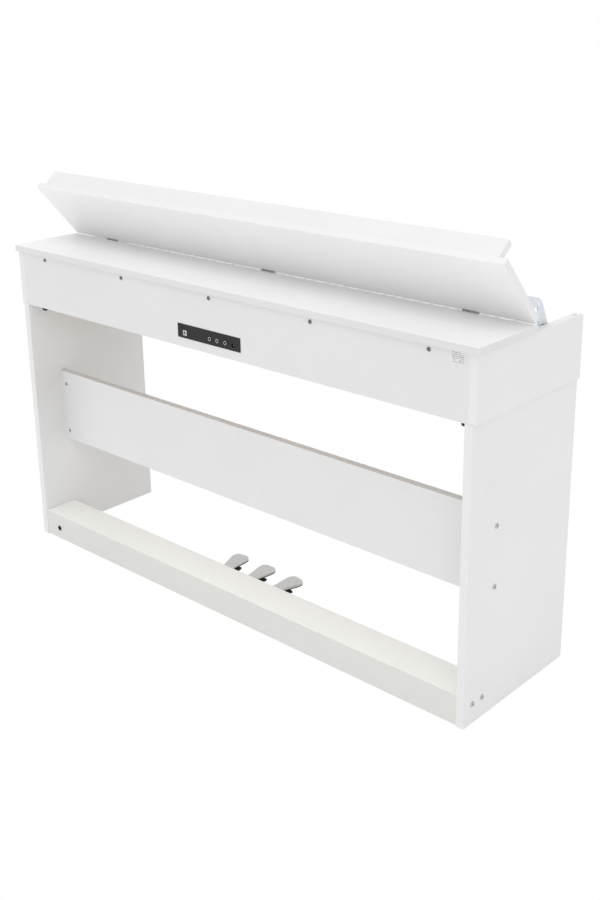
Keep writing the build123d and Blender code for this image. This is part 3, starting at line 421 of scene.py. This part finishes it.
def islands(name):
    """Box of each separate solid in a node, as (low, high) pairs, from low X up."""
    mesh = welded(name)
    left, found = set(mesh.verts), []
    while left:
        stack, seen = [left.pop()], []
        while stack:
            vert = stack.pop()
            seen.append(vert.co.copy())
            for edge in vert.link_edges:
                other = edge.other_vert(vert)
                if other in left:
                    left.discard(other)
                    stack.append(other)
        low = Vector([min(point[k] for point in seen) for k in range(3)])
        high = Vector([max(point[k] for point in seen) for k in range(3)])
        found.append((low, high))
    mesh.free()
    return sorted(found, key=lambda pair: pair[0].x)


def finished(name, mesh, materials, node_name):
    """Turns a bmesh into a piece that stands for a node."""
    bmesh.ops.recalc_face_normals(mesh, faces=mesh.faces)
    data = bpy.data.meshes.new(name)
    mesh.to_mesh(data)
    mesh.free()
    for finish in materials:
        data.materials.append(finish)
    return place(name, data, BODY[node_name], (node_name,))


def cut(piece, cutter_mesh):
    """Takes a second mesh out of a piece."""
    data = bpy.data.meshes.new(piece.name + "_cutter")
    bmesh.ops.recalc_face_normals(cutter_mesh, faces=cutter_mesh.faces)
    cutter_mesh.to_mesh(data)
    cutter_mesh.free()
    tool = bpy.data.objects.new(piece.name + "_cutter", data)
    bpy.context.scene.collection.objects.link(tool)
    step = piece.modifiers.new("cut", "BOOLEAN")
    step.object = tool
    step.solver = "EXACT"
    shaped = bpy.data.meshes.new_from_object(piece.evaluated_get(bpy.context.evaluated_depsgraph_get()))
    piece.modifiers.clear()
    piece.data = shaped
    bpy.data.objects.remove(tool)
    return piece


def prism(mesh, outline, matrix, depth):
    """Extrudes an (x, y) outline along the local Z axis by depth."""
    base = [mesh.verts.new(matrix @ Vector((x, y, 0))) for x, y in outline]
    lid = [mesh.verts.new(matrix @ Vector((x, y, depth))) for x, y in outline]
    mesh.faces.new(base)
    mesh.faces.new(lid[::-1])
    for step in range(len(outline)):
        after = (step + 1) % len(outline)
        mesh.faces.new((base[step], lid[step], lid[after], base[after]))


def facing(point, direction):
    """Matrix with its Z axis along a direction at a point."""
    return Matrix.Translation(point) @ Vector(direction).to_track_quat("Z", "Y").to_matrix().to_4x4()


def ring_of(radius, sides, turn=0.0):
    """Points of a regular polygon."""
    return [(radius * math.cos(2 * math.pi * step / sides + turn),
             radius * math.sin(2 * math.pi * step / sides + turn)) for step in range(sides)]


# ---------------------------------------------------------------------------------------------------
# Boards: faced panels with edge banding and eased arrises
# ---------------------------------------------------------------------------------------------------
WHITE = (white_face, white_band, white_arris)
WARM = (warm_face, warm_face, warm_arris)
for name in ("side_panel_bass", "side_panel_treble", "cheek_bass", "cheek_treble", "top_board", "lid_panel",
             "lid_front_strip", "rear_panel", "modesty_panel", "key_slip"):
    # The rear panel, the lid panel and the top board with its bands take painted shade and painted light
    # copies of the white melamine.
    face = {"lid_panel": lit_lid_face, "top_board": lit_top_face, "rear_panel": shaded_rear_face}.get(name, white_face)
    edge = shaded_top_band if name == "top_board" else white_band
    dress(name, (face, edge, white_arris), 0.7 * MM, 3, band=True, arris=True)
for name in ("pedal_box_rear", "pedal_box_front"):
    dress(name, WARM, 0.5 * MM, 3, arris=True, angle=60)
# The pedal box top takes the painted light copy of the foil.
dress("pedal_box_top", (lit_warm_top, lit_warm_top, warm_arris), 0.5 * MM, 3, arris=True, angle=60)
for name in ("base_board", "top_batten", "pedal_box_ends"):
    dress(name, (raw_board, raw_board), 0.3 * MM)

# ---------------------------------------------------------------------------------------------------
# Keyboard and controls
# ---------------------------------------------------------------------------------------------------
for count in range(1, 5):
    dress(f"white_keys_{count}", (key_white,), 0.7 * MM, 3)
    dress(f"black_keys_{count}", (key_black,), 1.1 * MM, 3)
dress("key_frame", (grey_plastic,), 0.4 * MM)
dress("key_block_bass", WHITE, 0.7 * MM, 3, band=True, arris=True)
dress("key_block_treble", WHITE, 0.7 * MM, 3, band=True, arris=True)
dress("power_button", (black_soft,), 0.5 * MM, 3)
dress("function_buttons", (grey_plastic,), 0.5 * MM, 3)
dress("volume_knob", (black_soft,), 0.3 * MM, 3)
finish_node("key_pivot_rod", zinc)

# ---------------------------------------------------------------------------------------------------
# Metalwork and small plastic
# ---------------------------------------------------------------------------------------------------
dress("lid_stays", (stay_metal,), 0.4 * MM, 2)
dress("stay_stop_pins", (zinc,), 0.4 * MM, 2)
dress("hinge_fixed_leaves", (hinge_metal,), 0.25 * MM, 2)
dress("hinge_lid_leaves", (hinge_metal,), 0.25 * MM, 2)
dress("hinge_pins", (zinc,), 0.3 * MM, 2)
dress("case_brackets", (white_steel,), 0.4 * MM, 2)
dress("barrel_nuts", (zinc,), 0.4 * MM, 2)
dress("pedal_cable_grommet", (black_soft,), 0.4 * MM, 3)
dress("lid_bumpers", (clear_soft,), 0.3 * MM, 2)
dress("pedal_guides", (black_soft,), 0.5 * MM, 2)
dress("pedal_bracket", (dark_steel,), 0.3 * MM, 2)
dress("connector_plate", (plate_black,), 0.25 * MM, 2)
dress("main_board", (green_mask,), 0.1 * MM, 1)
dress("speaker_grilles", (dark_steel,), 0.2 * MM, 1)
finish_node("speakers", black_soft)
finish_node("rating_label", label_foil)
for name in ("pedal_axle", "pedal_spring_soft", "pedal_spring_sostenuto", "pedal_spring_damper"):
    finish_node(name, dark_steel)


def screw_heads():
    """Pan-head cross-recess screws through the rear panel into the batten."""
    mesh, crosses = bmesh.new(), bmesh.new()
    for low, high in islands("rear_screws"):
        centre = (low + high) / 2
        radius = (high.x - low.x) / 2
        rise = 2.4 * MM
        at = facing((centre.x, high.y - rise, centre.z), (0, 1, 0))
        shank = -(high.y - rise - low.y)
        point = [(0, shank), (1.0 * MM, shank + 2 * MM), (SCREW_THREAD_R, shank + 5 * MM)]
        neck = [(SCREW_THREAD_R, -0.2 * MM), (SCREW_THREAD_R, 0)]
        head = [(radius * 0.97, 0), (radius, 0.25 * MM), (radius, 0.8 * MM), (radius * 0.93, 1.45 * MM),
                (radius * 0.75, 2.0 * MM), (radius * 0.45, rise * 0.97), (0, rise)]
        lathe(mesh, point + neck + head, at)
        arm, half = 2.3 * MM, 0.5 * MM
        outline = [(arm, half), (half, half), (half, arm), (-half, arm), (-half, half), (-arm, half),
                   (-arm, -half), (-half, -half), (-half, -arm), (half, -arm), (half, -half), (arm, -half)]
        turn = Matrix.Rotation(math.radians(17 + 31 * centre.x * 10), 4, "Z")
        prism(crosses, outline, at @ Matrix.Translation((0, 0, 1.0 * MM)) @ turn, 3 * MM)
    cut(finished("rear_screws_turned", mesh, (screw_metal,), "rear_screws"), crosses)


def bolt_heads():
    """Low-head socket bolts through the stand panels."""
    mesh, sockets = bmesh.new(), bmesh.new()
    for low, high in islands("stand_bolts"):
        centre = (low + high) / 2
        side = 1 if centre.x > 0 else -1
        outer = high.x if side > 0 else low.x
        inner = low.x if side > 0 else high.x
        radius = (high.y - low.y) / 2
        rise = 2.2 * MM
        at = facing((outer - side * rise, centre.y, centre.z), (side, 0, 0))
        shank = -(abs(outer - inner) - rise)
        thread = [(0, shank), (2.4 * MM, shank), (BOLT_THREAD_R, shank + 1 * MM), (BOLT_THREAD_R, 0)]
        head = [(radius * 0.96, 0), (radius, 0.3 * MM), (radius, 0.9 * MM), (radius * 0.93, 1.6 * MM),
                (radius * 0.78, 2.05 * MM), (radius * 0.6, rise), (0, rise)]
        lathe(mesh, thread + head, at)
        key_floor = at @ Matrix.Translation((0, 0, 0.6 * MM))
        prism(sockets, ring_of(2.3 * MM, 6, 0.2 + centre.z), key_floor, 3 * MM)
    cut(finished("stand_bolts_turned", mesh, (zinc,), "stand_bolts"), sockets)


def hand_bolts():
    """Lobed plastic knobs on the bolts that hold the case down."""
    knob_height, lobes = 17 * MM, 8
    mesh = bmesh.new()
    for low, high in islands("case_bolts"):
        centre = (low + high) / 2
        radius = (high.x - low.x) / 2
        length = high.z - low.z
        at = Matrix.Translation((centre.x, centre.y, low.z))
        lathe(mesh, [(0, 0), (radius * 0.55, 0), (radius * 0.62, 1 * MM),
                     (radius * 0.62, knob_height - 1 * MM), (radius * 0.5, knob_height),
                     (0, knob_height)], at, 32)
        for x, y in ring_of(radius * 0.68, lobes):
            lathe(mesh, [(0, 1 * MM), (radius * 0.2, 1 * MM), (radius * 0.3, 2.4 * MM),
                         (radius * 0.3, knob_height - 2 * MM), (radius * 0.2, knob_height - 0.6 * MM),
                         (0, knob_height - 0.6 * MM)], at @ Matrix.Translation((x, y, 0)), 16)
        thread = [(0, knob_height), (BOLT_THREAD_R, knob_height), (BOLT_THREAD_R, length), (0, length)]
        lathe(mesh, thread, at, 24, 1)
    finished("case_bolts_turned", mesh, (black_soft, zinc), "case_bolts")


def jacks():
    """Panel jacks: knurled nut, black throat with a deep bore, body behind the plate."""
    length, throat = 34.8 * MM, 30 * MM
    ring, bore, neck = 4.3 * MM, 3.15 * MM, 4.0 * MM
    lip, chamfer, nut, seat = 0.35 * MM, 0.45 * MM, 1.8 * MM, 2.9 * MM
    knurls, half_width, half_height = 24, 7.5 * MM, 8 * MM
    mesh = bmesh.new()
    for low, high in islands("audio_jacks"):
        centre = (low + high) / 2
        back = high.y - length
        at = facing((centre.x, back, centre.z), (0, 1, 0))
        depth = high.y - back
        lathe(mesh, [(bore, depth - chamfer), (bore + lip, depth), (ring - lip, depth),
                     (ring, depth - 0.4 * MM), (ring, depth - nut), (neck, depth - nut)], at, 48, 0)
        lathe(mesh, [(neck, depth - nut), (neck, depth - seat)], at, 48, 1)
        lathe(mesh, [(bore, depth - chamfer), (bore, depth - throat), (0, depth - throat)], at, 48, 1)
        for step in range(knurls):
            turn = Matrix.Rotation(2 * math.pi * step / knurls, 4, "Z")
            notch = at @ turn @ Matrix.Translation((ring, 0, depth - 1.7 * MM))
            prism(mesh, [(-0.2 * MM, -0.2 * MM), (0.1 * MM, -0.12 * MM), (0.1 * MM, 0.12 * MM),
                         (-0.2 * MM, 0.2 * MM)], notch, 1.1 * MM)
        outline = [(-half_width, -half_height), (half_width, -half_height), (half_width, half_height),
                   (-half_width, half_height)]
        corners = [mesh.verts.new(at @ Vector((x, y, z))) for z in (0, depth - seat) for x, y in outline]
        for loop in ((0, 1, 2, 3), (0, 1, 5, 4), (1, 2, 6, 5), (2, 3, 7, 6), (3, 0, 4, 7)):
            mesh.faces.new([corners[k] for k in loop]).material_index = 1
    data = bpy.data.meshes.new("audio_jacks_turned")
    mesh.to_mesh(data)
    mesh.free()
    for finish in (nut_metal, throat_black):
        data.materials.append(finish)
    place("audio_jacks_turned", data, BODY["audio_jacks"], ("audio_jacks",))


def sorted_faces(name, materials, rule, width=0.2 * MM, segments=2):
    """Dresses a node and picks the material of each face by a rule on its centre and its corners."""
    piece = dress(name, materials, width, segments)
    corners = piece.data.vertices
    for face in piece.data.polygons:
        face.material_index = rule(face.center, [corners[k].co for k in face.vertices])


def sockets():
    """Square data socket with a bright shell and pale insert; power inlet with a dark well and a pin."""
    low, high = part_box("usb_socket")
    middle = (low + high) / 2
    shell, opening_half, rim = 2.0 * MM, 4.2 * MM, 0.1 * MM
    pin_r, well_floor = 1.3 * MM, 2.2 * MM

    def usb_rule(at, corners):
        across = abs(at.x - middle.x) < (high.x - low.x) / 2 - shell
        inside = across and abs(at.z - middle.z) < opening_half
        return 1 if inside and at.y < high.y - rim else 0

    sorted_faces("usb_socket", (nickel, insert_white), usb_rule)
    inlet_low, inlet_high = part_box("dc_inlet")
    centre = (inlet_low + inlet_high) / 2

    def inlet_rule(at, corners):
        widest = max(math.hypot(corner.x - centre.x, corner.z - centre.z) for corner in corners)
        return 1 if widest < pin_r and at.y > inlet_low.y + well_floor else 0

    sorted_faces("dc_inlet", (throat_black, nut_metal), inlet_rule)


def pedal(name):
    """Cast pedal: bright tapering paddle with rolled edges; the faces under a sloping seam, the arm among
    them, are black.
    """
    seam = PEDAL_UNDER_Z + PEDAL_BRIGHT_RISE
    mesh = welded(name)
    everything = mesh.verts[:] + mesh.edges[:] + mesh.faces[:]
    bmesh.ops.bisect_plane(mesh, geom=everything, plane_co=(0, PEDAL_BEND_Y, seam),
                           plane_no=(0, math.sin(PEDAL_SLOPE), math.cos(PEDAL_SLOPE)))
    for face in mesh.faces:
        at = face.calc_center_median()
        underside = at.z < seam + (PEDAL_BEND_Y - at.y) * math.tan(PEDAL_SLOPE)
        face.material_index = 1 if underside else 0
    data = bpy.data.meshes.new(name + "_dressed")
    mesh.to_mesh(data)
    mesh.free()
    for finish in (satin_nickel, black_soft):
        data.materials.append(finish)
    soften(place(name + "_dressed", data, BODY[name], (name,)), 0.5 * MM, 3)


screw_heads()
bolt_heads()
hand_bolts()
jacks()
sockets()
for name in ("pedal_soft", "pedal_sostenuto", "pedal_damper"):
    pedal(name)

# ---------------------------------------------------------------------------------------------------
# Studio
# ---------------------------------------------------------------------------------------------------


def studio_material(name, value):
    """Pale paper that reads as even white to the camera and as soft paper to the light."""
    made = bpy.data.materials.new(name)
    made.use_nodes = True
    tree = made.node_tree
    tree.nodes.clear()
    paper = node(tree, "ShaderNodeBsdfPrincipled",
                 {"Base Color": grey(value), "Roughness": 0.9, "Emission Color": grey(1),
                  "Emission Strength": 0.2})
    grain = noise(tree, node(tree, "ShaderNodeTexCoord").outputs["Object"], 90.0)
    raised = node(tree, "ShaderNodeBump", {"Strength": 0.05, "Distance": 0.001, "Height": grain})
    tree.links.new(raised.outputs["Normal"], paper.inputs["Normal"])
    glow = node(tree, "ShaderNodeEmission", {"Color": grey(1), "Strength": 1.0})
    seen = node(tree, "ShaderNodeLightPath").outputs["Is Camera Ray"]
    mix = node(tree, "ShaderNodeMixShader", {0: seen, 1: paper.outputs[0], 2: glow.outputs[0]})
    end = node(tree, "ShaderNodeOutputMaterial")
    tree.links.new(mix.outputs[0], end.inputs["Surface"])
    return made


def studio():
    """Round cove: a pale floor that curves up into a pale backdrop on every side."""
    paper = studio_material("studio_paper", 0.80)
    floor_mesh, wall_mesh = bmesh.new(), bmesh.new()
    lathe(floor_mesh, [(0, 0), (FLOOR_R, 0)], Matrix.Identity(4), 96)
    turns = [math.radians(angle) for angle in range(0, 91, 10)]
    curve = [(FLOOR_R + COVE_R * math.sin(turn), COVE_R - COVE_R * math.cos(turn)) for turn in turns]
    lathe(wall_mesh, curve + [(FLOOR_R + COVE_R, WALL_TOP)], Matrix.Identity(4), 96)
    for label, mesh in (("studio_floor", floor_mesh), ("studio_backdrop", wall_mesh)):
        bmesh.ops.recalc_face_normals(mesh, faces=mesh.faces)
        data = bpy.data.meshes.new(label)
        mesh.to_mesh(data)
        mesh.free()
        data.materials.append(paper)
        piece = bpy.data.objects.new(label, data)
        bpy.context.scene.collection.objects.link(piece)
        if label == "studio_backdrop":
            piece.visible_diffuse = False
            piece.visible_glossy = False
            piece.visible_shadow = False


def softbox(name, place_at, aim, size, power):
    """Large rectangular area light."""
    lamp = bpy.data.lights.new(name, "AREA")
    lamp.shape = "RECTANGLE"
    lamp.size, lamp.size_y = size
    lamp.energy = power
    piece = bpy.data.objects.new(name, lamp)
    piece.location = place_at
    piece.rotation_euler = (Vector(aim) - Vector(place_at)).to_track_quat("-Z", "Y").to_euler()
    bpy.context.scene.collection.objects.link(piece)


def camera():
    """Camera behind the bass end, looking down along the rear of the piano."""
    lens = bpy.data.cameras.new("camera")
    lens.lens = 48.307
    lens.sensor_width = 36.0
    lens.shift_x = 0.01648
    lens.shift_y = -0.07658
    lens.clip_end = 60.0
    eye = bpy.data.objects.new("camera", lens)
    stand_at = (-1.83955, 1.88751, 1.41132)
    yaw, pitch, roll = -0.812454, -0.322904, -0.019728
    ahead = Vector((math.cos(pitch) * math.cos(yaw), math.cos(pitch) * math.sin(yaw), math.sin(pitch)))
    right = ahead.cross(Vector((0, 0, 1))).normalized()
    up = right.cross(ahead)
    rolled_right = right * math.cos(roll) + up * math.sin(roll)
    rolled_up = up * math.cos(roll) - right * math.sin(roll)
    turn = Matrix((rolled_right, rolled_up, -ahead)).transposed().to_4x4()
    eye.matrix_world = Matrix.Translation(stand_at) @ turn
    bpy.context.scene.collection.objects.link(eye)
    bpy.context.scene.camera = eye


def world(strength):
    """Even white surround."""
    sky = bpy.data.worlds.new("surround")
    sky.use_nodes = True
    sky.node_tree.nodes["Background"].inputs["Color"].default_value = (1, 1, 1, 1)
    sky.node_tree.nodes["Background"].inputs["Strength"].default_value = strength
    bpy.context.scene.world = sky


studio()
world(0.97)
softbox("key", (-2.8, 2.2, 2.6), (0, 0, 0.5), (2.0, 1.6), 9)
softbox("top", (0.2, 1.0, 4.0), (0, 0.1, 0.8), (3.0, 1.6), 24)
camera()
bpy.context.scene.view_settings.view_transform = "Standard"
